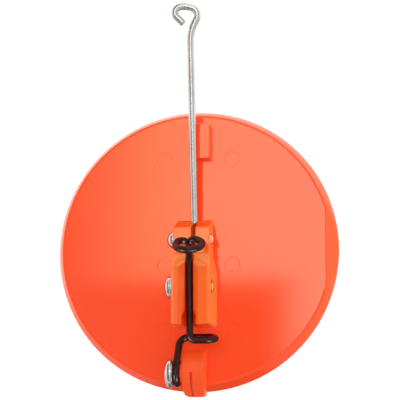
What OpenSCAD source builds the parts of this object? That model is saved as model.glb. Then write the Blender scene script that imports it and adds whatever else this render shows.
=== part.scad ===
// Trolling diver disc with a wire release, lying face up.
// +Z is up, +Y runs along the leader arm, and the origin is the disc's centre on the resting plane.

/* [Disc] */
// Diameter of the disc at its foot
disc_d = 105; // [102:0.5:108]
// Height of the face above the resting plane
disc_h = 6; // [5.6:0.1:6.6]
// Depth of the hollow under the face plate
hollow_h = 3; // [2.8:0.1:3.2]
// Width of the foot of the skirt
skirt_w = 3.9; // [3.5:0.1:4.5]
// How far the sloped rim leans in towards the face
rim_lean = 2.15; // [1.6:0.05:2.6]
// Height of the upright strip at the foot of the rim
rim_foot_h = 1; // [0.6:0.1:1.4]
// Rounding of the edge between rim and face
rim_edge_r = 1; // [0.6:0.1:1.4]
// Distance of the flat facet's upper edge from the centre
facet_x = 48; // [47.2:0.1:48.6]
// Slope of the flat facet below the face
facet_slope = 48; // [44:1:52]

/* [Arm rest] */
// Width of the arm rest
rest_w = 7.2; // [6.6:0.1:7.6]
// Length of the arm rest
rest_l = 13.3; // [12:0.1:14]
// Height of the arm rest above the face
rest_h = 4.3; // [4:0.1:4.3]

/* [Release block] */
// Width across the two cheeks at their top
cheek_w = 14; // [13.8:0.1:14.4]
// Width across the two cheeks at their foot
cheek_foot_w = 15.4; // [15:0.1:15.8]
// Height of the cheeks above the face
cheek_h = 16; // [15.6:0.1:16.6]
// Width across the two ears
ear_w = 13.4; // [13:0.1:13.8]
// Height of the ears above the face
ear_h = 11; // [10.5:0.1:11.5]
// Gap between the cheeks, where the trip wire lies
jaw_gap = 3.2; // [3.2:0.1:3.5]
// Gap between the ears, where the arm's foot turns
ear_gap = 1.6; // [1.6:0.1:2]

/* [Leader arm] */
// Diameter of the arm's wire
arm_d = 2.6; // [2.5:0.05:2.65]
// Distance from the arm's pivot to the middle of its eye
arm_l = 82.95; // [80:0.05:84]
// Rise of the arm towards its eye
arm_rise = 5; // [4.5:0.1:5.5]
// Radius of the eye's right shoulder, to the middle of the wire
arm_shoulder_r = 3.1; // [2.9:0.05:3.3]
// Radius of the eye's top, to the middle of the wire
arm_top_r = 8.2; // [7.8:0.1:8.6]
// Radius of the curl before the eye's straight end, to the middle of the wire
arm_curl_r = 2.25; // [2.15:0.05:2.4]

/* [Trip wire] */
// Diameter of the trip wire
trip_d = 2.6; // [2.5:0.05:2.6]
// Radius of the upper eye, to the middle of the wire
trip_eye_r = 4.75; // [4.7:0.05:4.9]
// Lean of the upper eye towards the lug
trip_eye_lean = 32; // [30:1:34]
// Radius of the eye round the pivot screw, to the middle of the wire
pivot_eye_r = 4.1; // [4.1:0.05:4.2]

/* [Ballast] */
// Thickness of the lead crescent
ballast_t = 2.5; // [2:0.1:2.5]
// Angle that the crescent spans
ballast_span = 140; // [120:5:150]

/* [Hidden] */
$fn = 64;

// Colours
orange = [0.96, 0.33, 0.14];
light_orange = [0.95, 0.42, 0.18];
steel = [0.78, 0.78, 0.77];
black_wire = [0.08, 0.05, 0.05];
brass_yellow = [0.78, 0.6, 0.3];
lead_grey = [0.42, 0.43, 0.45];

// Small sizes that several pieces share
cut = 1;
corner_steps = 6;
dome_steps = 9;
bend_step = 12;
wire_sides = 16;
running_gap = 0.05;
seat_gap = 0.02;
hole_spare = 0.3;

// Disc
disc_r = disc_d / 2;
face_r = disc_r - rim_lean;
hollow_r = disc_r - skirt_w;
hub_r = 7;
rib_w = 1.6;
rib_angles = [35, 90, 145];
rest_x = 2;
rest_y = 40.05;
rest_corner_r = 1.2;
mark_d = 5.6;
mark_depth = 0.15;
mark_columns = [-11.7, 13.4];
mark_rows = [33.6, -5.8, -29.8];

// Release block: places along Y, and the middle of the jaws and of the ears across X
jaw_x = -0.65;
ear_x = -0.35;
jaw_start_y = -3.6;
ear_end_y = 10.7;
ear_top_y = 6.6;
slope_low_y = -3;
slope_top_y = -8.5;
cheek_end_y = -29.3;
ear_end_r = 0.8;
cheek_end_r = 0.6;
ear_corner_r = 0.6;
block_corner_r = 1.6;
slope_r = 1;
channel_floor = 5;
slot_floor = 2;
bevel_w = 2.3;
bevel_h = 1.8;
flare_start_y = -24.3;
flare_full_y = -26.2;
flare_gap = 5.2;

// Arm pivot
arm_pivot = [0.4, 2.7, 12];
pin_d = 3;
pin_head_d = 6;
pin_head_h = 2.2;
pin_tail_d = 3.9;
pin_tail_h = 1.4;
pin_washer_d = 6.8;
pin_washer_t = 0.6;
slot_spare = 0.5;
foot_t = 1;
foot_r = 2.9;
foot_neck_half = 2.3;
foot_tip_half = 0.9;
foot_l = 9.5;
wire_start = 6.5;
arm_skew = 0.6;
arm_bend_r = 14.6;
arm_lean = 29;
arm_lean_l = 1.1;
arm_top_start = 65;
arm_curl_start = 98;
arm_tip_start = 225;
arm_tip_l = 3.55;

// Tension screw, across the cheeks
tension_y = -15.2;
tension_z = disc_h + 9.4;
tension_d = 3.4;
tension_head_d = 8.6;
tension_head_h = 2.4;
tension_washer_d = 8.8;
tension_washer_t = 0.8;
tension_seat_d = 9.2;
tension_tip = 0.9;
nut_d = 5.8;
nut_l = 5.2;
head_rim_share = 0.15;
head_cross_depth = 1.2;

// Lug and trip pivot
lug_w = 7.6;
lug_l = 17;
lug_h = 10.4;
lug_corner_r = 1.4;
lug_boss_d = 7.8;
lug_boss_l = 0.95;
groove_x = -0.5;
groove_w = 0.8;
groove_depth = 0.5;
gate_d = 0.9;
gate_z = disc_h + 2.4;
trip_axis = [0.15, -46.1, 12.2];
trip_shoulder_d = 2 * (pivot_eye_r - trip_d / 2 - running_gap);
trip_thread_d = 4;
trip_thread_l = 6;
trip_head_d = 11;
trip_head_h = 2.8;
trip_washer_d = 9.4;
trip_washer_t = 0.4;
eye_side_gap = 0.15;

// Trip wire: corners of its route
trip_eye_x = trip_axis.x - (lug_w / 2 + lug_boss_l + eye_side_gap + trip_d / 2);
stem_top = [-0.75, 2.4, disc_h + 13.3];
stem_foot = [-0.55, -34.8, disc_h + 12.2];
loop_x = 5.15;
loop_back_y = -33.2;
loop_back_z = trip_axis.z;
leg_x = -5;
trip_bend_r = 2;
leg_bend_r = 3.4;
trip_eye_shift = 0.7;
trip_eye_first = 275;
trip_eye_last = 30;
trip_curl_run = 1.8;
trip_curl_r = 1.5;
trip_curl_turn = 145;
pivot_eye_turn = 280;

// Screws from below
screw_d = 3;
screw_head_d = 5.6;
screw_head_h = 1.7;
screw_hole_d = 3.3;
cross_depth = 0.7;
cross_l_share = 0.5;
cross_w_share = 0.14;
block_screw_top = disc_h + 4;
block_screw_places = [[0, -11], [0, -22]];
lug_screw_top = disc_h + 3.6;
lug_screw_places = [[trip_axis.x, -39.4], [trip_axis.x, -45.4]];

// Ballast
ballast_in_r = 27;
ballast_out_r = hollow_r - 1;
ballast_notch_w = 8;
ballast_notch_y = -34.6;
ballast_screw_r = 37;
ballast_screw_turn = 40;
ballast_screw_d = 2.5;
ballast_screw_l = 3.2;
ballast_head_d = 8;
ballast_head_h = 1.1;
ballast_boss_d = 5.6;
ballast_boss_h = 1.45;
ballast_gap = 0.3;

// A unit vector along v
function unit(v) = v / norm(v);

// Points of the rounded corner p between its neighbours a and b
function corner_points(a, p, b, r) =
    let (
        to_a = unit(a - p),
        to_b = unit(b - p),
        half = acos(to_a * to_b) / 2,
        middle = p + unit(to_a + to_b) * r / sin(half),
        first = p + to_a * r / tan(half) - middle,
        last = p + to_b * r / tan(half) - middle,
        start = atan2(first.y, first.x),
        sweep = atan2(cross(first, last), first * last)
    )
    [for (i = [0:corner_steps]) middle + r * [cos(start + sweep * i / corner_steps),
                                              sin(start + sweep * i / corner_steps)]];

// An outline whose corners [x, y, radius] are rounded
function rounded_outline(corners) =
    let (n = len(corners), points = [for (c = corners) [c.x, c.y]])
    [for (i = [0:n - 1])
        each corners[i].z == 0
            ? [points[i]]
            : corner_points(points[(i + n - 1) % n], points[i], points[(i + 1) % n], corners[i].z)];

// Extrudes an outline drawn in Y and Z along X, centred on x = 0
module across(width) {
    rotate([90, 0, 90]) linear_extrude(width, center = true) children();
}

// Points what stands along Z towards +X
module along_x() {
    rotate([0, 90, 0]) children();
}

// A round cap on z = 0, upright at its rim
module dome(d, h) {
    step = 90 / dome_steps;
    rotate_extrude() polygon([[0, 0], for (i = [0:dome_steps]) [d / 2 * cos(i * step), h * sin(i * step)]]);
}

// The cross-shaped driver recess of a head that is head_d across, from z = 0 up
module driver_cross(head_d, h) {
    cross_l = head_d * cross_l_share;
    cross_w = head_d * cross_w_share;
    for (turn = [0, 90])
        rotate([0, 0, turn])
            translate([-cross_l / 2, -cross_w / 2, 0]) cube([cross_l, cross_w, h]);
}

// A domed screw head on z = 0: a short rim, a dome and a driver recess
module domed_head(d, h) {
    rim = h * head_rim_share;
    difference() {
        union() {
            cylinder(d = d, h = rim);
            translate([0, 0, rim]) dome(d, h - rim);
        }
        translate([0, 0, h - head_cross_depth]) driver_cross(d, h);
    }
}

// A list without its first entry
function skip_first(list) = [for (i = [1:len(list) - 1]) list[i]];

// Points of a round stretch of wire: from middle + r * out, setting off along ahead
function arc_route(middle, out, ahead, r, turn) =
    let (steps = ceil(turn / bend_step))
    [for (i = [0:steps]) middle + r * (out * cos(turn * i / steps) + ahead * sin(turn * i / steps))];

// Points of the bend at p, on the way from a to b
function corner_route(a, p, b, r) =
    let (
        before = unit(p - a),
        after = unit(b - p),
        turn = acos(before * after),
        inward = unit(after - before * (before * after))
    )
    arc_route(p - before * r * tan(turn / 2) + inward * r, -inward, before, r, turn);

// A side direction for each point of a route, carried along without twist
function carried_sides(ways, side, i = 0) =
    i == len(ways) ? [] :
    let (level = unit(side - ways[i] * (side * ways[i])))
    concat([level], carried_sides(ways, level, i + 1));

// Round wire along a route, whose first stretch isn't along first_side
module wire(route, d, first_side) {
    last = len(route) - 1;
    ways = [for (i = [0:last]) unit(route[min(i + 1, last)] - route[max(i - 1, 0)])];
    sides = carried_sides(ways, first_side);
    points = [for (i = [0:last], k = [0:wire_sides - 1])
        let (turn = 360 * k / wire_sides)
        route[i] + d / 2 * (sides[i] * cos(turn) + cross(ways[i], sides[i]) * sin(turn))];
    skin = [for (i = [0:last - 1], k = [0:wire_sides - 1])
        let (
            here = i * wire_sides + k,
            beside = i * wire_sides + (k + 1) % wire_sides
        )
        each [[here, here + wire_sides, beside + wire_sides], [here, beside + wire_sides, beside]]];
    end = last * wire_sides;
    caps = [for (k = [1:wire_sides - 2]) each [[0, k, k + 1], [end, end + k + 1, end + k]]];
    polyhedron(points, concat(skin, caps));
}

// A pan-headed screw driven upwards from the hollow, its head under z
module upward_screw(z, top, d, head_d, head_h) {
    difference() {
        union() {
            translate([0, 0, z - head_h]) cylinder(d = head_d, h = head_h);
            translate([0, 0, z - cut / 2]) cylinder(d = d, h = top - z + cut / 2);
        }
        translate([0, 0, z - head_h - cut]) driver_cross(head_d, cut + cross_depth);
    }
}

// Where a ballast screw stands; side is -1 for left and 1 for right
function ballast_screw_at(side) =
    ballast_screw_r * [side * sin(ballast_screw_turn), -cos(ballast_screw_turn)];

// The disc's solid of revolution, hollow below
module disc_shell() {
    rotate_extrude($fn = 128) polygon(concat(
        [[0, hollow_h], [hollow_r, hollow_h], [hollow_r, 0], [disc_r, 0], [disc_r, rim_foot_h]],
        corner_points([disc_r, rim_foot_h], [face_r, disc_h], [0, disc_h], rim_edge_r),
        [[0, disc_h]]
    ));
}

// The hub, ribs and screw bosses under the face plate
module disc_underside() {
    cylinder(r = hub_r, h = hollow_h + cut);
    for (turn = rib_angles)
        rotate([0, 0, turn])
            translate([0, -rib_w / 2, cut]) cube([hollow_r + cut, rib_w, hollow_h]);
    for (side = [-1, 1])
        translate([each ballast_screw_at(side), hollow_h - ballast_boss_h])
            cylinder(d = ballast_boss_d, h = ballast_boss_h + cut);
}

module arm_rest() {
    half_w = rest_w / 2;
    half_l = rest_l / 2;
    translate([rest_x, rest_y, disc_h - cut])
        linear_extrude(rest_h + cut)
            polygon(rounded_outline([
                [-half_w, -half_l, rest_corner_r], [half_w, -half_l, rest_corner_r],
                [half_w, half_l, rest_corner_r], [-half_w, half_l, rest_corner_r],
            ]));
}

module disc() color(orange) {
    difference() {
        union() {
            disc_shell();
            disc_underside();
            arm_rest();
        }
        translate([facet_x, -disc_r, disc_h]) rotate([0, facet_slope, 0]) cube([disc_r, disc_d, disc_r]);
        for (x = mark_columns, y = mark_rows)
            translate([x, y, disc_h - mark_depth]) cylinder(d = mark_d, h = cut);
        for (place = concat(block_screw_places, lug_screw_places))
            translate([each place, -cut]) cylinder(d = screw_hole_d, h = disc_h + 2 * cut);
        for (side = [-1, 1])
            translate([each ballast_screw_at(side), 0])
                cylinder(d = ballast_screw_d + 2 * seat_gap,
                         h = hollow_h - ballast_boss_h + ballast_screw_l + hole_spare);
    }
}

// Side view of the release block, in Y and Z
module block_side() {
    base = disc_h;
    polygon(rounded_outline([
        [cheek_end_y, base, 0],
        [ear_end_y, base, 0],
        [ear_top_y, base + ear_h, ear_end_r],
        [slope_low_y, base + ear_h, slope_r],
        [slope_top_y, base + cheek_h, slope_r],
        [cheek_end_y, base + cheek_h, cheek_end_r],
    ]));
}

// Plan of the release block, in X and Y
module block_plan() {
    ear_left = ear_x - ear_w / 2;
    ear_right = ear_x + ear_w / 2;
    cheek = cheek_foot_w / 2;
    polygon(rounded_outline([
        [ear_right, ear_end_y, ear_corner_r],
        [ear_left, ear_end_y, ear_corner_r],
        [ear_left, slope_low_y, 0],
        [-cheek, slope_top_y, 0],
        [-cheek, cheek_end_y, block_corner_r],
        [cheek, cheek_end_y, block_corner_r],
        [cheek, slope_top_y, 0],
        [ear_right, slope_low_y, 0],
    ]));
}

// End view of the cheeks, in X and Z, leaning in towards their top
module cheek_draft() {
    foot = cheek_foot_w / 2;
    top = cheek_w / 2;
    polygon([[-foot, disc_h], [foot, disc_h], [top, disc_h + cheek_h], [-top, disc_h + cheek_h]]);
}

// The space between the cheeks: a channel, bevelled at its mouth and flared at its lower end
module jaw_space() {
    half = jaw_gap / 2;
    flare = flare_gap / 2;
    low_y = cheek_end_y - cut;
    top = disc_h + cheek_h;
    translate([-half, low_y, disc_h + channel_floor]) cube([jaw_gap, jaw_start_y - low_y, cheek_h]);
    translate([0, jaw_start_y, 0]) rotate([90, 0, 0])
        linear_extrude(jaw_start_y - low_y)
            polygon([[-half - bevel_w, top], [-half, top - bevel_h], [half, top - bevel_h],
                     [half + bevel_w, top], [half + bevel_w, top + cut], [-half - bevel_w, top + cut]]);
    translate([0, 0, disc_h + channel_floor])
        linear_extrude(cheek_h)
            polygon([[-flare, low_y], [flare, low_y], [flare, flare_full_y], [half, flare_start_y],
                     [-half, flare_start_y], [-flare, flare_full_y]]);
}

module release_block() color(light_orange) {
    slot_y = arm_pivot.y - foot_r - slot_spare;
    difference() {
        intersection() {
            across(cheek_foot_w + cut) block_side();
            translate([0, 0, disc_h - cut]) linear_extrude(cheek_h + 2 * cut) block_plan();
            rotate([90, 0, 0]) linear_extrude(disc_d, center = true) cheek_draft();
        }
        translate([jaw_x, 0, 0]) jaw_space();
        translate([arm_pivot.x - ear_gap / 2, slot_y, disc_h + slot_floor])
            cube([ear_gap, ear_end_y - slot_y + cut, ear_h]);
        translate([-ear_w, arm_pivot.y, arm_pivot.z])
            along_x() cylinder(d = pin_d + 2 * running_gap, h = 2 * ear_w);
        translate([-cheek_w, tension_y, tension_z])
            along_x() cylinder(d = tension_d + 2 * running_gap, h = 2 * cheek_w);
        translate([-cheek_w, tension_y, tension_z]) along_x() cylinder(d = tension_seat_d, h = cheek_w / 2);
        translate([cheek_w / 2 - nut_l, tension_y, tension_z]) along_x() cylinder(d = nut_d, h = nut_l + cut);
        for (place = block_screw_places)
            translate([each place, disc_h - cut])
                cylinder(d = screw_d + 2 * seat_gap, h = block_screw_top - disc_h + cut + hole_spare);
    }
}

// The arch that the lug shows from the side, shrunk by inset
module lug_arch(inset) {
    r = lug_l / 2 - inset;
    middle = disc_h + lug_h - lug_l / 2;
    translate([trip_axis.y, middle]) circle(r);
    translate([trip_axis.y - r, disc_h]) square([2 * r, middle - disc_h]);
}

module pivot_lug() color(orange) {
    half_w = lug_w / 2;
    half_l = lug_l / 2;
    difference() {
        union() {
            intersection() {
                translate([trip_axis.x, 0, 0]) across(lug_w) lug_arch(0);
                translate([trip_axis.x, trip_axis.y, disc_h])
                    linear_extrude(lug_h)
                        polygon(rounded_outline([
                            [-half_w, -half_l, lug_corner_r], [half_w, -half_l, lug_corner_r],
                            [half_w, half_l, lug_corner_r], [-half_w, half_l, lug_corner_r],
                        ]));
            }
            translate(trip_axis - [half_w + lug_boss_l, 0, 0])
                along_x() cylinder(d = lug_boss_d, h = lug_boss_l + half_w);
        }
        difference() {
            translate([groove_x, 0, 0]) across(groove_w)
                translate([trip_axis.y - lug_l, gate_z]) square([lug_l, lug_h]);
            translate([trip_axis.x, 0, 0]) across(lug_w) lug_arch(groove_depth);
        }
        translate([groove_x, trip_axis.y - half_l - cut, gate_z])
            rotate([-90, 0, 0]) cylinder(d = gate_d, h = 2 * cut);
        translate(trip_axis - [half_w + lug_boss_l + cut, 0, 0])
            along_x() cylinder(d = trip_thread_d + 2 * seat_gap,
                               h = lug_boss_l + trip_thread_l + cut + hole_spare);
        for (place = lug_screw_places)
            translate([each place, disc_h - cut])
                cylinder(d = screw_d + 2 * seat_gap, h = lug_screw_top - disc_h + cut + hole_spare);
    }
}

// Directions out from the middle of a bend in X and Y, and along the wire there
function out_at(turn) = [cos(turn), sin(turn), 0];
function along_at(turn) = [-sin(turn), cos(turn), 0];

// Part of the arm's route: a bend in X and Y from one direction to another
function arm_arc(middle, from, to, r) =
    skip_first(arc_route(middle, out_at(from), along_at(from), r, to - from));

// Route of the arm's wire, with its pivot at the origin, the wire along +Y and the eye flat in X and Y
function arm_route() =
    let (
        bend_y = arm_l - (arm_shoulder_r + arm_bend_r) * sin(arm_lean) - arm_lean_l * cos(arm_lean),
        shoulder_x = arm_bend_r + arm_lean_l * sin(arm_lean) - (arm_bend_r + arm_shoulder_r) * cos(arm_lean),
        shoulder = [shoulder_x, arm_l, 0],
        top = shoulder + (arm_shoulder_r - arm_top_r) * out_at(arm_top_start),
        curl = top + (arm_top_r - arm_curl_r) * out_at(arm_curl_start),
        tip = curl + arm_curl_r * out_at(arm_tip_start)
    )
    concat(
        [[0, wire_start, 0]],
        arc_route([arm_bend_r, bend_y, 0], [-1, 0, 0], [0, 1, 0], arm_bend_r, arm_lean),
        [shoulder + arm_shoulder_r * out_at(-arm_lean)],
        arm_arc(shoulder, -arm_lean, arm_top_start, arm_shoulder_r),
        arm_arc(top, arm_top_start, arm_curl_start, arm_top_r),
        arm_arc(curl, arm_curl_start, arm_tip_start, arm_curl_r),
        [tip + arm_tip_l * along_at(arm_tip_start)]
    );

// The arm's flattened foot, with the pivot hole
module arm_foot() {
    difference() {
        across(foot_t) union() {
            circle(foot_r);
            polygon([[0, foot_neck_half], [0, -foot_neck_half],
                     [foot_l, -foot_tip_half], [foot_l, foot_tip_half]]);
        }
        translate([-foot_t, 0, 0]) along_x() cylinder(d = pin_d + 2 * running_gap, h = 2 * foot_t);
    }
}

module leader_arm() color(steel) {
    translate(arm_pivot) rotate([arm_rise, 0, 0]) {
        arm_foot();
        rotate([0, 0, arm_skew]) wire(arm_route(), arm_d, [1, 0, 0]);
    }
}

module arm_pivot_pin() color(steel) {
    head_x = ear_x - ear_w / 2 - pin_washer_t;
    translate([head_x, arm_pivot.y, arm_pivot.z]) rotate([0, -90, 0]) dome(pin_head_d, pin_head_h);
    translate([head_x, arm_pivot.y, arm_pivot.z])
        along_x() cylinder(d = pin_d, h = ear_w + pin_washer_t + 2 * seat_gap);
    translate([ear_x + ear_w / 2 + seat_gap, arm_pivot.y, arm_pivot.z])
        along_x() dome(pin_tail_d, pin_tail_h);
}

module flat_washer(d, hole_d, t) {
    along_x() difference() {
        cylinder(d = d, h = t);
        translate([0, 0, -cut]) cylinder(d = hole_d, h = t + 2 * cut);
    }
}

module arm_pivot_washer() color(steel) {
    translate([ear_x - ear_w / 2 - pin_washer_t, arm_pivot.y, arm_pivot.z])
        flat_washer(pin_washer_d, pin_d + 2 * running_gap, pin_washer_t);
}

// Route of the trip wire: upper eye, stem, sideways loop, and the eye round the pivot screw
function trip_route() =
    let (
        lean = [0, -sin(trip_eye_lean), cos(trip_eye_lean)],
        side = [1, 0, 0],
        eye_drop = trip_eye_r / cos(trip_eye_last) + trip_eye_shift * tan(trip_eye_last),
        eye_middle = stem_top + side * trip_eye_shift + lean * eye_drop,
        eye_out = side * sin(trip_eye_first) - lean * cos(trip_eye_first),
        eye_ahead = -side * cos(trip_eye_first) - lean * sin(trip_eye_first),
        curl_middle = eye_middle + (trip_eye_r - trip_curl_r) * eye_out - trip_curl_run * eye_ahead,
        curl_out = eye_out * cos(trip_curl_turn) - eye_ahead * sin(trip_curl_turn),
        curl_ahead = eye_out * sin(trip_curl_turn) + eye_ahead * cos(trip_curl_turn),
        eye_end = eye_middle + trip_eye_r * (side * sin(trip_eye_last) - lean * cos(trip_eye_last)),
        loop_front = [loop_x, stem_foot.y, stem_foot.z],
        loop_back = [loop_x, loop_back_y, loop_back_z],
        loop_r = norm(loop_front - loop_back) / 2,
        leg_corner = [leg_x, loop_back_y, loop_back_z],
        pivot_middle = [trip_eye_x, trip_axis.y, trip_axis.z],
        leg_angle = acos(pivot_eye_r / (leg_corner.y - pivot_middle.y)),
        leg_out = [0, cos(leg_angle), sin(leg_angle)],
        leg_ahead = [0, -sin(leg_angle), cos(leg_angle)],
        leg_end = pivot_middle + pivot_eye_r * leg_out
    )
    concat(
        arc_route(curl_middle, curl_out, curl_ahead, trip_curl_r, trip_curl_turn),
        arc_route(eye_middle, eye_out, eye_ahead, trip_eye_r, trip_eye_first - trip_eye_last),
        corner_route(eye_end, stem_top, stem_foot, trip_bend_r),
        corner_route(stem_top, stem_foot, loop_front, trip_bend_r),
        arc_route((loop_front + loop_back) / 2, (loop_front - loop_back) / (2 * loop_r), side, loop_r, 180),
        corner_route(loop_back, leg_corner, leg_end, leg_bend_r),
        arc_route(pivot_middle, leg_out, leg_ahead, pivot_eye_r, pivot_eye_turn)
    );

module trip_wire() color(black_wire) {
    wire(trip_route(), trip_d, [0, 1, 0]);
}

module trip_pivot_screw() color(steel) {
    boss_x = trip_axis.x - lug_w / 2 - lug_boss_l;
    shoulder_l = trip_d + 2 * eye_side_gap + trip_washer_t;
    translate([boss_x, trip_axis.y, trip_axis.z]) {
        translate([-shoulder_l, 0, 0]) along_x() cylinder(d = trip_shoulder_d, h = shoulder_l);
        translate([-cut, 0, 0]) along_x() cylinder(d = trip_thread_d, h = lug_boss_l + trip_thread_l + cut);
        translate([-shoulder_l, 0, 0]) rotate([0, -90, 0]) domed_head(trip_head_d, trip_head_h);
    }
}

module trip_pivot_washer() color(steel) {
    translate([trip_eye_x - trip_d / 2 - eye_side_gap - trip_washer_t, trip_axis.y, trip_axis.z])
        flat_washer(trip_washer_d, trip_shoulder_d + 2 * seat_gap, trip_washer_t);
}

module tension_screw() color(steel) {
    head_x = -cheek_w / 2 - tension_washer_t - running_gap;
    translate([head_x, tension_y, tension_z]) {
        rotate([0, -90, 0]) domed_head(tension_head_d, tension_head_h);
        along_x() cylinder(d = tension_d, h = cheek_w / 2 + tension_tip - head_x);
    }
}

module tension_washer() color(steel) {
    translate([-cheek_w / 2 - tension_washer_t, tension_y, tension_z])
        flat_washer(tension_washer_d, tension_d + 2 * running_gap, tension_washer_t);
}

module tension_nut() color(brass_yellow) {
    translate([cheek_w / 2 - nut_l, tension_y, tension_z])
        flat_washer(nut_d - 2 * seat_gap, tension_d + 2 * running_gap, nut_l);
}

module block_screw(place) color(steel) {
    translate(place) upward_screw(hollow_h, block_screw_top, screw_d, screw_head_d, screw_head_h);
}

module lug_screw(place) color(steel) {
    translate(place) upward_screw(hollow_h, lug_screw_top, screw_d, screw_head_d, screw_head_h);
}

// The lead crescent, notched round the lug's screws
module ballast_weight() color(lead_grey) {
    top = hollow_h - seat_gap;
    side_turn = 90 - ballast_span / 2;
    difference() {
        translate([0, 0, top - ballast_t])
            rotate([0, 0, 180 + side_turn])
                rotate_extrude(angle = ballast_span, $fn = 128)
                    translate([ballast_in_r, 0]) square([ballast_out_r - ballast_in_r, ballast_t]);
        translate([-ballast_notch_w / 2, -disc_r, -cut])
            cube([ballast_notch_w, disc_r + ballast_notch_y, hollow_h + cut]);
        for (side = [-1, 1])
            translate([each ballast_screw_at(side), 0]) {
                cylinder(d = ballast_boss_d + 2 * ballast_gap, h = 2 * hollow_h);
                cylinder(d = ballast_head_d + 2 * ballast_gap, h = hollow_h - ballast_boss_h);
            }
    }
}

module ballast_screw(side) color(steel) {
    seat = hollow_h - ballast_boss_h;
    translate([each ballast_screw_at(side), 0])
        upward_screw(seat, seat + ballast_screw_l, ballast_screw_d, ballast_head_d, ballast_head_h);
}

disc();
release_block();
pivot_lug();
leader_arm();
arm_pivot_pin();
arm_pivot_washer();
trip_wire();
trip_pivot_screw();
trip_pivot_washer();
tension_screw();
tension_washer();
tension_nut();
block_screw(block_screw_places[0]);  // block_screw_upper
block_screw(block_screw_places[1]);  // block_screw_lower
lug_screw(lug_screw_places[0]);  // lug_screw_inner
lug_screw(lug_screw_places[1]);  // lug_screw_outer
ballast_weight();
ballast_screw(-1);  // ballast_screw_left
ballast_screw(1);  // ballast_screw_right
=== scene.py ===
"""Looks of a trolling diver disc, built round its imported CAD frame.

The pieces' sizes are in millimetres, and MM turns them into metres; the studio's sizes are in metres.
"""
import math

import bmesh
import bpy
from mathutils import Euler, Matrix, Vector


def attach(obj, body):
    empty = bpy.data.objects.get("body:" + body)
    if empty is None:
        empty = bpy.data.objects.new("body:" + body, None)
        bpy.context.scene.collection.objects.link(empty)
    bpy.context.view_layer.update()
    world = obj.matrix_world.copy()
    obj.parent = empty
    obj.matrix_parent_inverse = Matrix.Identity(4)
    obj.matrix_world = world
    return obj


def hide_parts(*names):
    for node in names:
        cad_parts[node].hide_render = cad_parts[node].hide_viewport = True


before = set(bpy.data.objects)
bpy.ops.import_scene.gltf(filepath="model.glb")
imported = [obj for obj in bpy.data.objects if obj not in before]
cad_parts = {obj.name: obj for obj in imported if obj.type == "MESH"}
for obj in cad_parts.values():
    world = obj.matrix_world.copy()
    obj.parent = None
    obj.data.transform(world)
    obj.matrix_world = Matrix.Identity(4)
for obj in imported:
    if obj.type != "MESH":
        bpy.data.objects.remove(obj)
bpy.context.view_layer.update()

MM = 0.001
FULL_TURN = 2 * math.pi
LEFTWARDS = Euler((0, -math.pi / 2, 0))
DOWNWARDS = Euler((math.pi, 0, 0))

# How finely the meshes are made
SMOOTH_ANGLE = math.radians(38)
TURNED_STEPS = 48
DOME_STEPS = 12
WIRE_SIDES = 24
BEND_STEP = math.radians(5)

# Sizes that the looks share with the solids
FACE_Z = 6.0
HOLLOW_Z = 3.0
REST_X = 2.0
REST_Y = 40.05
JAW_X = -0.65
ARM_PIVOT = Vector((0.4, 2.7, 12.0))
ARM_RISE = math.radians(5)
ARM_SKEW = math.radians(0.6)
ARM_WIRE_R = 1.3
TRIP_WIRE_R = 1.3
TRIP_AXIS = Vector((0.15, -46.1, 12.2))
TENSION_AT = Vector((0.0, -15.2, 15.4))
LUG_ARCH_R = 8.5
LUG_ARCH_Z = 7.9
LUG_GROOVE_X = -0.5


class Graph:
    """A node tree in the making: adds nodes and feeds their inputs with values or other nodes' outputs."""

    def __init__(self, tree):
        self.tree = tree

    def add(self, kind, inputs=None, **settings):
        node = self.tree.nodes.new(kind)
        for key, value in settings.items():
            setattr(node, key, value)
        for key, value in (inputs or {}).items():
            self.feed(node, key, value)
        return node

    def feed(self, node, key, value):
        socket = node.inputs[key]
        if isinstance(value, bpy.types.NodeSocket):
            self.tree.links.new(value, socket)
        else:
            socket.default_value = value

    def math(self, operation, first, second):
        return self.add("ShaderNodeMath", {0: first, 1: second}, operation=operation).outputs[0]

    def noise(self, place, size, detail):
        node = self.add("ShaderNodeTexNoise", {"Vector": place, "Scale": size, "Detail": detail})
        return node.outputs["Fac"]

    def drawn_out(self, place, share):
        """The place with its Y cut to this share, so that a pattern on it runs along Y."""
        return self.add("ShaderNodeMapping", {"Vector": place, "Scale": (1.0, share, 1.0)}).outputs[0]

    def attribute(self, name):
        return self.add("ShaderNodeAttribute", attribute_name=name).outputs["Fac"]


def link(name, mesh):
    """A new object of this mesh, in the scene."""
    piece = bpy.data.objects.new(name, mesh)
    bpy.context.scene.collection.objects.link(piece)
    return piece


def shade(mesh):
    """Makes faces smooth between sharp edges."""
    mesh.shade_smooth()
    mesh.set_sharp_from_angle(angle=SMOOTH_ANGLE)


def mesh_of(name, bm):
    """A mesh of this bmesh, turned from millimetres to metres, with smooth faces between sharp edges."""
    bmesh.ops.recalc_face_normals(bm, faces=bm.faces)
    bmesh.ops.scale(bm, vec=(MM, MM, MM), verts=bm.verts)
    mesh = bpy.data.meshes.new(name)
    bm.to_mesh(mesh)
    bm.free()
    shade(mesh)
    return mesh


def set_material(piece, material):
    piece.data.materials.clear()
    piece.data.materials.append(material)


def settle(piece):
    """Turns the piece's evaluated shape into its plain mesh and takes its modifiers off."""
    bpy.context.view_layer.update()
    graph = bpy.context.evaluated_depsgraph_get()
    mesh = bpy.data.meshes.new_from_object(piece.evaluated_get(graph))
    piece.modifiers.clear()
    piece.data = mesh


def finish_piece(piece, body, slot, *nodes):
    """Gives the piece its body and hides the CAD nodes that it stands in for; slot is not used."""
    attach(piece, body)
    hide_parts(*nodes)


# Shader groups


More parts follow.
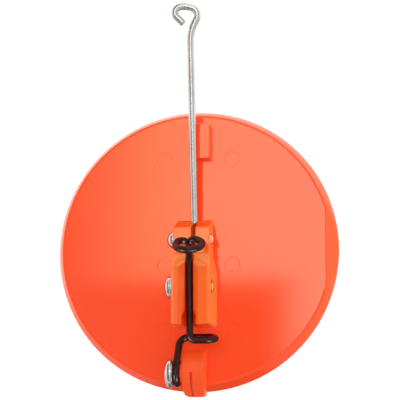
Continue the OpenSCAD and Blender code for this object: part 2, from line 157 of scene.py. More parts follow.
def new_group(name, inputs, outputs):
    """A shader group with number inputs at these values, number outputs, and its two inner ends."""
    group = bpy.data.node_groups.new(name, "ShaderNodeTree")
    for label, value in inputs.items():
        socket = group.interface.new_socket(label, in_out="INPUT", socket_type="NodeSocketFloat")
        socket.default_value = value
    for label in outputs:
        group.interface.new_socket(label, in_out="OUTPUT", socket_type="NodeSocketFloat")
    graph = Graph(group)
    return group, graph, graph.add("NodeGroupInput").outputs, graph.add("NodeGroupOutput")


def moulded_skin_group():
    """Moulded plastic: slow clouds of tone, fine pits, long flow streaks from the gate, and the painted light
    and shade kept on the piece's points or faces.
    """
    flow_size, flow_share, noise_middle = 260.0, 0.12, 0.5
    cloud_polish, cloud_height = 0.6, 0.7
    group, g, given, out = new_group(
        "moulded_skin", {"Cloud size": 40.0, "Grain size": 900.0, "Flow": 0.3},
        ("Tone", "Polish", "Height", "Painted light"))
    place = g.add("ShaderNodeTexCoord").outputs["Object"]
    cloud = g.noise(place, given["Cloud size"], detail=3.0)
    grain = g.noise(place, given["Grain size"], detail=2.0)
    flow = g.noise(g.drawn_out(place, flow_share), flow_size, detail=4.0)
    streak = g.math("MULTIPLY", g.math("SUBTRACT", flow, noise_middle), given["Flow"])
    g.feed(out, "Tone", g.math("ADD", cloud, streak))
    g.feed(out, "Polish", g.math("ADD", g.math("MULTIPLY", cloud, cloud_polish), streak))
    g.feed(out, "Height", g.math("ADD", grain, g.math("MULTIPLY", cloud, cloud_height)))
    g.feed(out, "Painted light", g.attribute("painted_light_and_shade"))
    return group


def metal_skin_group():
    """Handled metal: drawing lines along Y, cloudy polish, and rougher stretches whose tone is painted shade
    and reflection, where the piece marks them.
    """
    line_share, line_tone, cloud_tone = 0.04, 0.5, 0.5
    group, g, given, out = new_group(
        "metal_skin", {"Line size": 1500.0, "Cloud size": 120.0}, ("Tone", "Polish", "Height"))
    place = g.add("ShaderNodeTexCoord").outputs["Object"]
    lines = g.noise(g.drawn_out(place, line_share), given["Line size"], detail=3.0)
    cloud = g.noise(place, given["Cloud size"], detail=4.0)
    tone = g.math("ADD", g.math("MULTIPLY", lines, line_tone), g.math("MULTIPLY", cloud, cloud_tone))
    painted_shade_and_reflection = g.attribute("painted_shade_and_reflection")
    g.feed(out, "Tone", g.math("MULTIPLY", tone, g.math("SUBTRACT", 1.0, painted_shade_and_reflection)))
    g.feed(out, "Polish", g.math("ADD", cloud, painted_shade_and_reflection))
    g.feed(out, "Height", lines)
    return group


MOULDED_SKIN = moulded_skin_group()
METAL_SKIN = metal_skin_group()

# Materials

# Where a skin's Tone gives the darker tone, the lighter tone and the tone of painted shade and reflection
TONE_STOPS = (0.3, 0.75, 0.05)
# Between which values a skin's Polish goes from glossy to dull
POLISH_FROM = 0.25
POLISH_TO = 0.75
# Which values of the painted light mask give painted shade in pockets, painted light on level faces and
# painted light on edges
POCKET_PAINTED_SHADE = 0.0
LEVEL_PAINTED_LIGHT = 0.5
EDGE_PAINTED_LIGHT = 1.0


def colour_ramp(g, value, stops):
    """The colour at this value on a ramp through the (position, colour) stops."""
    ramp = g.add("ShaderNodeValToRGB", {"Fac": value})
    elements = ramp.color_ramp.elements
    elements.remove(elements[1])
    for i, (position, colour) in enumerate(stops):
        element = elements[0] if i == 0 else elements.new(position)
        element.position = position
        element.color = (*colour, 1)
    return ramp.outputs["Color"]


def finish_material(name, group, group_values, tones, gloss, relief, sockets, painted_light_colours=None):
    """A material whose tone, gloss and relief come from a shared group, with the shader's plain sockets.

    tones are the darker tone, the lighter tone and, where there is one, the tone of painted shade and
    reflection.
    gloss is the least and the most roughness, and relief is a bump's strength and distance.
    The last argument gives the emission colours of painted shade in pockets and of painted light on level
    faces and edges.
    """
    material = bpy.data.materials.new(name)
    material.use_nodes = True
    material.node_tree.nodes.clear()
    g = Graph(material.node_tree)
    skin = g.add("ShaderNodeGroup", node_tree=group)
    for key, value in group_values.items():
        skin.inputs[key].default_value = value
    colour = colour_ramp(g, skin.outputs["Tone"], zip(TONE_STOPS, tones))
    rough = g.add("ShaderNodeMapRange", {
        "Value": skin.outputs["Polish"], "From Min": POLISH_FROM, "From Max": POLISH_TO,
        "To Min": gloss[0], "To Max": gloss[1]})
    bump = g.add("ShaderNodeBump", {
        "Height": skin.outputs["Height"], "Strength": relief[0], "Distance": relief[1]})
    shader = g.add("ShaderNodeBsdfPrincipled", {
        "Base Color": colour, "Roughness": rough.outputs["Result"], "Normal": bump.outputs["Normal"],
        **sockets})
    # Emission paints shade in pockets and light on level faces and edges.
    if painted_light_colours:
        stops = zip((POCKET_PAINTED_SHADE, LEVEL_PAINTED_LIGHT, EDGE_PAINTED_LIGHT), painted_light_colours)
        g.feed(shader, "Emission Color", colour_ramp(g, skin.outputs["Painted light"], stops))
    g.add("ShaderNodeOutputMaterial", {"Surface": shader.outputs["BSDF"]})
    return material


RED_TONES = [(0.62, 0.046, 0.006), (0.68, 0.056, 0.009)]
PLASTIC_RELIEF = (0.06, 0.0002)
# The plastics' emission is painted light: it fills their shade, and its colour paints light on edges and
# shade in pockets.
FLUORESCENT_PAINTED_GLOW = {
    "Specular IOR Level": 0.0, "Coat IOR": 1.45, "Emission Strength": 0.6,
    "Subsurface Weight": 0.4, "Subsurface Radius": (1.0, 0.3, 0.1)}
SOLID_METAL = {"Metallic": 1.0}

DISC_PLASTIC = finish_material(
    "fluorescent_disc_plastic", MOULDED_SKIN, {"Cloud size": 35.0, "Grain size": 1100.0, "Flow": 0.35},
    tones=RED_TONES, gloss=(0.38, 0.50), relief=PLASTIC_RELIEF,
    sockets={**FLUORESCENT_PAINTED_GLOW, "Coat Weight": 0.7, "Coat Roughness": 0.05, "Subsurface Scale": 0.003},
    painted_light_colours=[(0.05, 0.002, 0.0), (0.70, 0.048, 0.012), (0.80, 0.135, 0.022)])
LUG_PLASTIC = finish_material(
    "fluorescent_lug_plastic", MOULDED_SKIN, {"Cloud size": 90.0, "Grain size": 1100.0, "Flow": 0.5},
    tones=RED_TONES, gloss=(0.38, 0.50), relief=PLASTIC_RELIEF,
    sockets={**FLUORESCENT_PAINTED_GLOW, "Coat Weight": 0.6, "Coat Roughness": 0.35, "Subsurface Scale": 0.002},
    painted_light_colours=[(0.2, 0.008, 0.001), (0.70, 0.030, 0.002), (0.64, 0.080, 0.014)])
BLOCK_PLASTIC = finish_material(
    "fluorescent_block_plastic", MOULDED_SKIN, {"Cloud size": 90.0, "Grain size": 1400.0, "Flow": 0.5},
    tones=[(0.60, 0.075, 0.006), (0.66, 0.100, 0.010)], gloss=(0.30, 0.42), relief=PLASTIC_RELIEF,
    sockets={**FLUORESCENT_PAINTED_GLOW, "Coat Weight": 0.8, "Coat Roughness": 0.12, "Subsurface Scale": 0.002},
    painted_light_colours=[(0.38, 0.002, 0.0), (0.68, 0.098, 0.012), (0.75, 0.260, 0.050)])
# The third tone is painted shade and orange reflection, for the arm's foot in the slot between the ears.
ARM_STEEL = finish_material(
    "drawn_arm_steel", METAL_SKIN, {"Line size": 1600.0, "Cloud size": 150.0},
    tones=[(0.50, 0.48, 0.46), (0.72, 0.70, 0.68), (0.30, 0.05, 0.02)],
    gloss=(0.20, 0.30), relief=(0.03, 0.0001), sockets=SOLID_METAL)
# The third tone is a painted orange-brown reflection, for fastener ends on the block's right side.
BRIGHT_STEEL = finish_material(
    "polished_fastener_steel", METAL_SKIN, {"Line size": 900.0, "Cloud size": 250.0},
    tones=[(0.62, 0.60, 0.57), (0.80, 0.78, 0.75), (0.95, 0.50, 0.25)],
    gloss=(0.10, 0.22), relief=(0.04, 0.0001), sockets=SOLID_METAL)
# A near-black coating; the red tint of its tones is painted reflection of the orange plastic.
BLACK_COAT = finish_material(
    "black_wire_coating", MOULDED_SKIN, {"Cloud size": 180.0, "Grain size": 1500.0, "Flow": 0.4},
    tones=[(0.024, 0.003, 0.002), (0.044, 0.006, 0.004)],
    gloss=(0.08, 0.20), relief=(0.35, 0.0004), sockets={"Specular IOR Level": 0.2})
BRASS = finish_material(
    "turned_insert_brass", METAL_SKIN, {"Line size": 1200.0, "Cloud size": 200.0},
    tones=[(0.55, 0.36, 0.12), (0.75, 0.52, 0.20)],
    gloss=(0.18, 0.32), relief=(0.06, 0.0001), sockets=SOLID_METAL)
CAST_LEAD = finish_material(
    "dull_cast_lead", METAL_SKIN, {"Line size": 300.0, "Cloud size": 90.0},
    tones=[(0.13, 0.135, 0.145), (0.24, 0.245, 0.26)],
    gloss=(0.50, 0.70), relief=(0.25, 0.0003), sockets={"Metallic": 0.7})

# Mesh makers


def softened_copy(node, name, rounding, steps=2, share_of=None):
    """A merged copy of a CAD node with its sharp edges rounded, each by share_of(edge) of the rounding."""
    same_spot, flat_angle, sharp_angle = 0.002 * MM, math.radians(0.4), math.radians(30)
    large_face_pull = 100
    bm = bmesh.new()
    bm.from_mesh(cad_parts[node].data)
    bmesh.ops.remove_doubles(bm, verts=bm.verts, dist=same_spot)
    bmesh.ops.dissolve_limit(bm, angle_limit=flat_angle, verts=bm.verts, edges=bm.edges)
    weight = bm.edges.layers.float.new("bevel_weight_edge")
    for edge in bm.edges:
        if edge.is_manifold and edge.calc_face_angle() > sharp_angle:
            edge[weight] = share_of(edge) if share_of else 1.0
    mesh = bpy.data.meshes.new(name)
    bm.to_mesh(mesh)
    bm.free()
    mesh.shade_smooth()
    piece = link(name, mesh)
    bevel = piece.modifiers.new("rounded_edges", "BEVEL")
    bevel.limit_method = "WEIGHT"
    bevel.width = rounding * MM
    bevel.segments = steps
    bevel.use_clamp_overlap = False
    flatness = piece.modifiers.new("flat_faces_stay_flat", "WEIGHTED_NORMAL")
    flatness.weight = large_face_pull
    flatness.keep_sharp = True
    settle(piece)
    return piece


def turned(bm, profile, place=Matrix.Identity(4)):
    """Adds to bm the solid that a closed profile of (radius, height) points makes round the Z axis."""
    rings = []
    for radius, height in profile:
        turns = [FULL_TURN * k / TURNED_STEPS for k in range(1 if radius == 0 else TURNED_STEPS)]
        rings.append([
            bm.verts.new(place @ Vector((radius * math.cos(turn), radius * math.sin(turn), height)))
            for turn in turns])
    for lower, upper in zip(rings, rings[1:] + rings[:1]):
        for k in range(TURNED_STEPS):
            corners = []
            for vert in (lower[k % len(lower)], lower[(k + 1) % len(lower)],
                         upper[(k + 1) % len(upper)], upper[k % len(upper)]):
                if vert not in corners:
                    corners.append(vert)
            if len(corners) > 2:
                bm.faces.new(corners)


def dome_profile(radius, rim, height, fullness=2.0):
    """Profile of a domed head from its crown down to its upright rim; a fullness of 2 is an ellipse."""
    power = 2 / fullness
    turns = [math.pi / 2 * i / DOME_STEPS for i in range(1, DOME_STEPS)]
    curve = [(radius * math.sin(turn) ** power, rim + (height - rim) * math.cos(turn) ** power)
             for turn in turns]
    return [(0, height)] + curve + [(radius, rim)]


def new_tree(name, inputs, output):
    """A Geometry Nodes tree with these named inputs and one shape as its output."""
    tree = bpy.data.node_groups.new(name, "GeometryNodeTree")
    for label, kind in inputs.items():
        tree.interface.new_socket(label, in_out="INPUT", socket_type="NodeSocket" + kind)
    tree.interface.new_socket(output, in_out="OUTPUT", socket_type="NodeSocketGeometry")
    return tree


def end_tree(g, shape, finish, output):
    """Makes the shape's copies real, gives them their finish and puts them out."""
    real = g.add("GeometryNodeRealizeInstances", {"Geometry": shape}).outputs["Geometry"]
    painted = g.add("GeometryNodeSetMaterial", {"Geometry": real, "Material": finish}).outputs["Geometry"]
    g.add("NodeGroupOutput", {output: painted})


def grown(name, mesh, tree, values):
    """A plain piece that a Geometry Nodes tree makes of this mesh, with its inputs set by their names."""
    piece = link(name, mesh)
    modifier = piece.modifiers.new(tree.name, "NODES")
    modifier.node_group = tree
    for item in tree.interface.items_tree:
        if item.in_out == "INPUT" and item.name in values:
            modifier[item.identifier] = values[item.name]
    settle(piece)
    shade(piece.data)
    return piece


# Wires


def bend(middle, out, ahead, radius, turn):
    """Points of a round stretch of wire from middle + radius * out, setting off along ahead."""
    count = max(2, math.ceil(turn / BEND_STEP))
    return [middle + radius * (out * math.cos(turn * i / count) + ahead * math.sin(turn * i / count))
            for i in range(count + 1)]


def corner(before, at, after, radius):
    """Points of the bend at a corner between two straight stretches."""
    way_in = (at - before).normalized()
    way_out = (after - at).normalized()
    turn = math.acos(way_in.dot(way_out))
    inward = (way_out - way_in * way_in.dot(way_out)).normalized()
    return bend(at - way_in * radius * math.tan(turn / 2) + inward * radius, -inward, way_in, radius, turn)


def arm_route():
    """Middle line of the leader arm's wire, from its flattened foot to the straight end of its eye."""
    length, shoulder_r, top_r, curl_r = 82.95, 3.1, 8.2, 2.25
    bend_r, lean_l, tip_l, start = 14.6, 1.1, 3.55, 6.5
    lean, top_from, curl_from, tip_from = (math.radians(a) for a in (29, 65, 98, 225))

    def out(turn):
        return Vector((math.cos(turn), math.sin(turn), 0))

    def along(turn):
        return Vector((-math.sin(turn), math.cos(turn), 0))

    bend_y = length - (shoulder_r + bend_r) * math.sin(lean) - lean_l * math.cos(lean)
    shoulder_x = bend_r + lean_l * math.sin(lean) - (bend_r + shoulder_r) * math.cos(lean)
    shoulder = Vector((shoulder_x, length, 0))
    top = shoulder + (shoulder_r - top_r) * out(top_from)
    curl = top + (top_r - curl_r) * out(curl_from)
    route = [Vector((0, start, 0)), Vector((0, (start + bend_y) / 2, 0))]
    route += bend(Vector((bend_r, bend_y, 0)), Vector((-1, 0, 0)), Vector((0, 1, 0)), bend_r, lean)
    for middle, first, last, radius in (
            (shoulder, -lean, top_from, shoulder_r), (top, top_from, curl_from, top_r),
            (curl, curl_from, tip_from, curl_r)):
        route += bend(middle, out(first), along(first), radius, last - first)
    route.append(route[-1] + tip_l * along(tip_from))
    turn = Matrix.Rotation(ARM_RISE, 4, "X") @ Matrix.Rotation(ARM_SKEW, 4, "Z")
    place = Matrix.Translation(ARM_PIVOT) @ turn
    return [place @ point for point in route]


def trip_route():
    """Middle line of the trip wire: upper eye, stem, sideways loop, and the eye round the pivot screw."""
    eye_r, eye_shift, curl_run, curl_r, pivot_r = 4.75, 0.7, 1.8, 1.5, 4.1
    stem_bend_r, leg_bend_r = 2.0, 3.4
    tilt, first, last, curl_turn, pivot_turn = (math.radians(a) for a in (32, 275, 30, 145, 280))
    side = Vector((1, 0, 0))
    lean = Vector((0, -math.sin(tilt), math.cos(tilt)))
    stem_top = Vector((-0.75, 2.4, 19.3))
    stem_foot = Vector((-0.55, -34.8, 18.2))
    loop_front = Vector((5.15, -34.8, 18.2))
    loop_back = Vector((5.15, -33.2, 12.2))
    leg_corner = Vector((-5, -33.2, 12.2))
    pivot = Vector((-6.05, TRIP_AXIS.y, TRIP_AXIS.z))

    def out(turn):
        return side * math.sin(turn) - lean * math.cos(turn)

    def ahead(turn):
        return -side * math.cos(turn) - lean * math.sin(turn)

    eye = stem_top + side * eye_shift + lean * (eye_r / math.cos(last) + eye_shift * math.tan(last))
    curl = eye + (eye_r - curl_r) * out(first) - curl_run * ahead(first)
    tip_out = out(first) * math.cos(curl_turn) - ahead(first) * math.sin(curl_turn)
    tip_ahead = out(first) * math.sin(curl_turn) + ahead(first) * math.cos(curl_turn)
    route = bend(curl, tip_out, tip_ahead, curl_r, curl_turn)
    route += bend(eye, out(first), ahead(first), eye_r, first - last)
    route += corner(eye + eye_r * out(last), stem_top, stem_foot, stem_bend_r)
    route += corner(stem_top, stem_foot, loop_front, stem_bend_r)
    loop_r = (loop_front - loop_back).length / 2
    loop_out = (loop_front - loop_back) / (2 * loop_r)
    route += bend((loop_front + loop_back) / 2, loop_out, side, loop_r, math.pi)
    leg_angle = math.acos(pivot_r / (leg_corner.y - pivot.y))
    leg_out = Vector((0, math.cos(leg_angle), math.sin(leg_angle)))
    leg_ahead = Vector((0, -math.sin(leg_angle), math.cos(leg_angle)))
    route += corner(loop_back, leg_corner, pivot + pivot_r * leg_out, leg_bend_r)
    route += bend(pivot, leg_out, leg_ahead, pivot_r, pivot_turn)
    return route


def bent_wire_tree():
    """Round wire along a chain of edges; each point's swell narrows the wire towards its cut ends."""
    tree = new_tree("bent_wire", {
        "Route": "Geometry", "Wire radius": "Float", "Sides": "Int", "Finish": "Material"}, "Wire")
    g = Graph(tree)
    given = g.add("NodeGroupInput").outputs
    swell = g.add("GeometryNodeInputNamedAttribute", {"Name": "swell"}, data_type="FLOAT")
    radius = g.math("MULTIPLY", swell.outputs["Attribute"], given["Wire radius"])
    path = g.add("GeometryNodeMeshToCurve", {"Mesh": given["Route"]}).outputs["Curve"]
    circle = g.add("GeometryNodeCurvePrimitiveCircle", {"Resolution": given["Sides"], "Radius": 1.0})
    tube = g.add("GeometryNodeCurveToMesh", {
        "Curve": path, "Profile Curve": circle.outputs["Curve"], "Scale": radius, "Fill Caps": True})
    end_tree(g, tube.outputs["Mesh"], given["Finish"], "Wire")
    return tree


BENT_WIRE = bent_wire_tree()
# Distances from a wire's cut end, and the share of its radius that it has there
END_STEPS = ((0.0, 0.72), (0.12, 0.88), (0.3, 0.97), (0.55, 1.0))


def with_cut_ends(route):
    """The route without repeated points, with extra points where the wire's two cut ends are dressed."""
    same_spot, end_run = 0.02, 0.6
    clean = [route[0]]
    for point in route[1:]:
        if (point - clean[-1]).length > same_spot:
            clean.append(point)
    ends = []
    for chain in (clean, clean[::-1]):
        way = (chain[1] - chain[0]).normalized()
        ends.append([(chain[0] + way * far, share) for far, share in END_STEPS])
    middle = [(point, 1.0) for point in clean[1:-1]
              if (point - clean[0]).length > end_run and (point - clean[-1]).length > end_run]
    return ends[0] + middle + ends[1][::-1]


def bent_wire(name, route, radius, material):
    """A round wire along the route, with its two cut ends dressed."""
    dressed = with_cut_ends(route)
    mesh = bpy.data.meshes.new(name)
    chain = [(i, i + 1) for i in range(len(dressed) - 1)]
    mesh.from_pydata([point * MM for point, share in dressed], chain, [])
    swell = mesh.attributes.new("swell", "FLOAT", "POINT")
    swell.data.foreach_set("value", [share for point, share in dressed])
    return grown(name, mesh, BENT_WIRE, {"Wire radius": radius * MM, "Sides": WIRE_SIDES, "Finish": material})


# Screws


def cross_head_tree():
    """Screws set on points: a turned blank with a driver cross cut into its head, repeated and turned."""
    tree = new_tree("cross_head_screws", {
        "Places": "Geometry", "Blank": "Object", "Cross length": "Float", "Cross width": "Float",
        "Cross depth": "Float", "Head height": "Float", "Turn": "Vector", "Finish": "Material"}, "Screws")
    g = Graph(tree)
    given = g.add("NodeGroupInput").outputs
    cut = g.add("GeometryNodeObjectInfo", {"Object": given["Blank"]}).outputs["Geometry"]
    deep = g.math("MULTIPLY", given["Cross depth"], 2.0)
    crown = g.add("ShaderNodeCombineXYZ", {"Z": given["Head height"]}).outputs[0]
    for along, across in (("X", "Y"), ("Y", "X")):
        size = g.add("ShaderNodeCombineXYZ", {
            along: given["Cross length"], across: given["Cross width"], "Z": deep}).outputs[0]
        bar = g.add("GeometryNodeMeshCube", {"Size": size}).outputs["Mesh"]
        arm = g.add("GeometryNodeTransform", {"Geometry": bar, "Translation": crown}).outputs["Geometry"]
        cut = g.add("GeometryNodeMeshBoolean", {"Mesh 1": cut, "Mesh 2": arm},
                    operation="DIFFERENCE", solver="EXACT").outputs["Mesh"]
    turn = g.add("FunctionNodeEulerToRotation", {"Euler": given["Turn"]}).outputs["Rotation"]
    points = g.add("GeometryNodeMeshToPoints", {"Mesh": given["Places"]}).outputs["Points"]
    copies = g.add("GeometryNodeInstanceOnPoints", {"Points": points, "Instance": cut, "Rotation": turn})
    end_tree(g, copies.outputs["Instances"], given["Finish"], "Screws")
    return tree


CROSS_HEAD = cross_head_tree()
# The driver cross's length and width as shares of the head's diameter
CROSS_LENGTH = 0.5
CROSS_WIDTH = 0.11


def cross_head_screws(name, places, turn, profile, cross_depth):
    """Steel screws, each head's underside at a place; the profile stands along Z, from its crown down."""
    head_d = 2 * max(radius for radius, height in profile)
    head_h = profile[0][1]
    bm = bmesh.new()
    turned(bm, profile)
    blank = link(name + "_blank", mesh_of(name + "_blank", bm))
    mesh = bpy.data.meshes.new(name)
    mesh.from_pydata([Vector(place) * MM for place in places], [], [])
    piece = grown(name, mesh, CROSS_HEAD, {
        "Blank": blank, "Cross length": CROSS_LENGTH * head_d * MM, "Cross width": CROSS_WIDTH * head_d * MM,
        "Cross depth": cross_depth * MM, "Head height": head_h * MM, "Turn": turn, "Finish": BRIGHT_STEEL})
    bpy.data.objects.remove(blank)
    return piece


def threaded(radius, top, bottom):
    """Profile of a threaded shank, from its top down to its chamfered end on the axis."""
    pitch, depth, crest_half, run_out, chamfer = 0.7, 0.22, 0.15, 0.5, 0.15
    points = []
    for i in range(int((top - bottom - run_out) / pitch)):
        start = top - i * pitch
        points += [(radius, start - crest_half), (radius - depth, start - pitch / 2),
                   (radius, start - pitch + crest_half)]
    return points + [(radius - depth, bottom + chamfer), (radius - 2 * depth, bottom), (0, bottom)]


# Where light leaves the plastic, and where metal is worn


def mark_points(mesh, name, value_at):
    """Keeps a value for each point of a mesh, by its place and its outward normal."""
    values = [value_at(vert.co / MM, normal.vector)
              for vert, normal in zip(mesh.vertices, mesh.vertex_normals)]
    mesh.attributes.new(name, "FLOAT", "POINT").data.foreach_set("value", values)


def mark_faces(mesh, name, value_at):
    """Keeps a value for each face of a mesh, by its middle and its outward normal."""
    values = [value_at(face.center / MM, face.normal) for face in mesh.polygons]
    mesh.attributes.new(name, "FLOAT", "FACE").data.foreach_set("value", values)


def painted_light_and_shade(normal):
    """Painted light where the plastic's surface turns away from level, most towards +Y and to the sides, and
    painted shade on faces turned towards -Y.
    """
    all_round, towards_y, sideways = 0.6, 1.2, 0.8
    steepest, least, most = 0.5, -0.8, 1.4
    share = all_round + towards_y * normal.y + sideways * abs(normal.x)
    return LEVEL_PAINTED_LIGHT + min(steepest, 1 - abs(normal.z)) * min(most, max(least, share))


# Half the width and length of the stretch of the face that holds the ring marks
MARK_FIELD_X = 20.0
MARK_FIELD_Y = 44.0


def disc_painted_light(place, normal):
    """Painted shade on the walls of the shallow ring marks, and painted light and shade by facing elsewhere.
    """
    wall_top, wall_foot = FACE_Z - 0.015, FACE_Z - 0.13
    in_field = abs(place.x) < MARK_FIELD_X and abs(place.y) < MARK_FIELD_Y
    return POCKET_PAINTED_SHADE if in_field and wall_foot < place.z < wall_top else painted_light_and_shade(normal)


def lug_painted_light(place, normal):
    """Painted light on the lug's right-facing and upward faces, and painted shade in the groove down its
    outer side.
    """
    groove_half, groove_lip = 0.43, 0.1
    sunk = LUG_ARCH_R - math.hypot(place.y - TRIP_AXIS.y, max(place.z - LUG_ARCH_Z, 0.0))
    if abs(place.x - LUG_GROOVE_X) < groove_half and sunk > groove_lip:
        return POCKET_PAINTED_SHADE
    return LEVEL_PAINTED_LIGHT + (EDGE_PAINTED_LIGHT - LEVEL_PAINTED_LIGHT) * max(normal.x, normal.z, 0.0)


def block_painted_light(place, normal):
    """Painted shade in the channel between the cheeks and the slot between the ears, darkest on the channel's
    floor, and painted light and shade by facing elsewhere.
    """
    channel_y, channel_half, channel_floor_z, channel_wall_painted_shade = -6.5, 3.6, 19.0, 0.25
    slot_y, slot_half, slot_top_z, slot_wall_painted_shade = -2.0, 0.9, 16.0, 0.2
    least_painted_light = 0.35
    if place.y < channel_y and abs(place.x - JAW_X) < channel_half:
        return POCKET_PAINTED_SHADE if place.z < channel_floor_z else channel_wall_painted_shade
    if place.y > slot_y and abs(place.x - ARM_PIVOT.x) < slot_half and place.z < slot_top_z:
        return slot_wall_painted_shade
    return max(painted_light_and_shade(normal), least_painted_light)


def tail_painted_reflection(share):
    """Painted orange-brown reflection, with a rougher finish, by this share where a fastener comes out on the
    block's right side.
    """
    block_right_x = 5.0
    return lambda place, normal: share if place.x > block_right_x else 0.0


def foot_painted_shade(place, normal):
    """Painted shade and orange reflection, with a rougher finish, on the arm's wire from its foot to where it
    leaves the slot between the ears.
    """
    slot_end_y = 8.6
    return 1.0 if place.y < slot_end_y else 0.0


# Pieces on the hull


def on_rest(point):
    """Whether a point of the disc belongs to the arm rest or to its foot."""
    half_w, half_l = 4.2, 7.2
    return abs(point.x - REST_X) < half_w and abs(point.y - REST_Y) < half_l


def disc_edge_share(edge):
    """The shallow ring marks, holes and thin ribs take less rounding than the rest of the disc."""
    below_face, above_face, above_hollow = 0.4, 0.05, 0.1
    mark_share, hollow_share = 0.25, 0.5
    low = min(vert.co.z for vert in edge.verts) / MM
    middle = (edge.verts[0].co + edge.verts[1].co) / (2 * MM)
    near_face = FACE_Z - below_face < low < FACE_Z + above_face
    if near_face and abs(middle.x) < MARK_FIELD_X and not on_rest(middle):
        return mark_share
    return hollow_share if low < HOLLOW_Z + above_hollow else 1.0


def block_edge_share(edge):
    """Edges between faces that meet at a blunt angle stay as they are."""
    blunt_angle = math.radians(56)
    return 1.0 if edge.calc_face_angle() > blunt_angle else 0.0


diver_disc = softened_copy("disc", "diver_disc", rounding=0.3, steps=3, share_of=disc_edge_share)
set_material(diver_disc, DISC_PLASTIC)
# Painted light on the disc's sides and edges, painted shade on faces towards -Y and on the ring marks' walls.
mark_points(diver_disc.data, "painted_light_and_shade", disc_painted_light)
finish_piece(diver_disc, "hull", "disc_plastic", "disc")

jaw_block = softened_copy("release_block", "jaw_block", rounding=0.3, steps=3, share_of=block_edge_share)
set_material(jaw_block, BLOCK_PLASTIC)
# Painted light on the block's edges and sides, painted shade in its channel and slot.
mark_faces(jaw_block.data, "painted_light_and_shade", block_painted_light)
finish_piece(jaw_block, "hull", "block_plastic", "release_block")

hinge_lug = softened_copy("pivot_lug", "hinge_lug", rounding=0.12)
set_material(hinge_lug, LUG_PLASTIC)
# Painted light on the lug's right and upper faces, painted shade in its groove.
mark_faces(hinge_lug.data, "painted_light_and_shade", lug_painted_light)
finish_piece(hinge_lug, "hull", "disc_plastic", "pivot_lug")

lead_weight = softened_copy("ballast_weight", "lead_weight", rounding=0.5, steps=3)
set_material(lead_weight, CAST_LEAD)
finish_piece(lead_weight, "hull", "lead_ballast", "ballast_weight")

for washer in ("arm_pivot_washer", "trip_pivot_washer", "tension_washer"):
    washer_ring = softened_copy(washer, washer + "_ring", rounding=0.1)
    set_material(washer_ring, BRIGHT_STEEL)
    finish_piece(washer_ring, "hull", "bright_hardware", washer)

nut_sleeve = softened_copy("tension_nut", "nut_sleeve", rounding=0.15)
set_material(nut_sleeve, BRASS)
finish_piece(nut_sleeve, "hull", "brass_insert", "tension_nut")


def rivet_mesh():
    """The pin that the arm turns on, with its domed head on the left and its spread tail on the right."""
    seat_x, seat_gap, grip, pin_r = -7.65, 0.02, 14.0, 1.5
    head_r, head_h, head_edge, tail_r, tail_h = 3.0, 2.2, 0.05, 1.95, 1.4
    tail_z = -seat_gap - grip
    pin = [(head_r - head_edge, -seat_gap), (pin_r, -seat_gap), (pin_r, tail_z)]
    tail = [(radius, tail_z - height) for radius, height in dome_profile(tail_r, 0.0, tail_h)[::-1]]
    place = Matrix.Translation((seat_x, ARM_PIVOT.y, ARM_PIVOT.z)) @ LEFTWARDS.to_matrix().to_4x4()
    bm = bmesh.new()
    turned(bm, dome_profile(head_r, 0.0, head_h) + pin + tail, place)
    return mesh_of("arm_rivet", bm)


arm_rivet = link("arm_rivet", rivet_mesh())
set_material(arm_rivet, BRIGHT_STEEL)
# Painted orange-brown reflection on the rivet's tail.
mark_points(arm_rivet.data, "painted_shade_and_reflection", tail_painted_reflection(share=0.85))
finish_piece(arm_rivet, "hull", "bright_hardware", "arm_pivot_pin")


def trip_bolt_profile():
    """A domed head, the plain shoulder that the trip wire turns on, and the thread."""
    head_r, head_h, rim_h, head_edge, fullness = 5.5, 2.8, 0.42, 0.15, 2.5
    shoulder_r, shoulder_z, thread_r, thread_z, end_z = 2.75, -3.3, 2.0, -3.4, -10.2
    shank = [(head_r, head_edge), (head_r - head_edge, 0.0), (shoulder_r, 0.0), (shoulder_r, shoulder_z),
             (thread_r, shoulder_z)]
    return dome_profile(head_r, rim_h, head_h, fullness) + shank + threaded(thread_r, thread_z, end_z)


TRIP_SEAT_X = -7.9
trip_bolt = cross_head_screws(
    "trip_bolt", [(TRIP_SEAT_X, TRIP_AXIS.y, TRIP_AXIS.z)], LEFTWARDS, trip_bolt_profile(), cross_depth=1.6)
finish_piece(trip_bolt, "hull", "bright_hardware", "trip_pivot_screw")

THREAD_START_Z = -0.2


def pan_head_profile(end_z):
    """A screw with a rounded flat-topped head and a thread down to end_z."""
    thread_r = 1.5
    head = [(0, 1.7), (1.6, 1.7), (2.3, 1.55), (2.65, 1.2), (2.8, 0.7), (2.8, 0.0), (thread_r, 0.0)]
    return head + threaded(thread_r, THREAD_START_Z, end_z)


BLOCK_SCREW_ROWS = (-11, -22)
body_screws = cross_head_screws(
    "body_screws", [(0, y, HOLLOW_Z) for y in BLOCK_SCREW_ROWS], DOWNWARDS, pan_head_profile(end_z=-7.0),
    cross_depth=1.3)
finish_piece(body_screws, "hull", "bright_hardware", "block_screw_upper", "block_screw_lower")

LUG_SCREW_ROWS = (-39.4, -45.4)
lug_screws = cross_head_screws(
    "lug_screws", [(TRIP_AXIS.x, y, HOLLOW_Z) for y in LUG_SCREW_ROWS], DOWNWARDS,
    pan_head_profile(end_z=-6.6), cross_depth=1.3)
finish_piece(lug_screws, "hull", "bright_hardware", "lug_screw_inner", "lug_screw_outer")


def flat_head_profile():
    """A short screw with a wide low head."""
    thread_r, end_z = 1.25, -3.2
    head = [(0, 1.1), (3.3, 1.1), (3.85, 0.85), (4.0, 0.4), (4.0, 0.0), (thread_r, 0.0)]
    return head + threaded(thread_r, THREAD_START_Z, end_z)


def weight_screw_place(side):
    """Where a ballast screw's head sits, on the left for a side of -1 and on the right for 1."""
    ring_r, turn, seat_z = 37, math.radians(40), 1.55
    return side * ring_r * math.sin(turn), -ring_r * math.cos(turn), seat_z


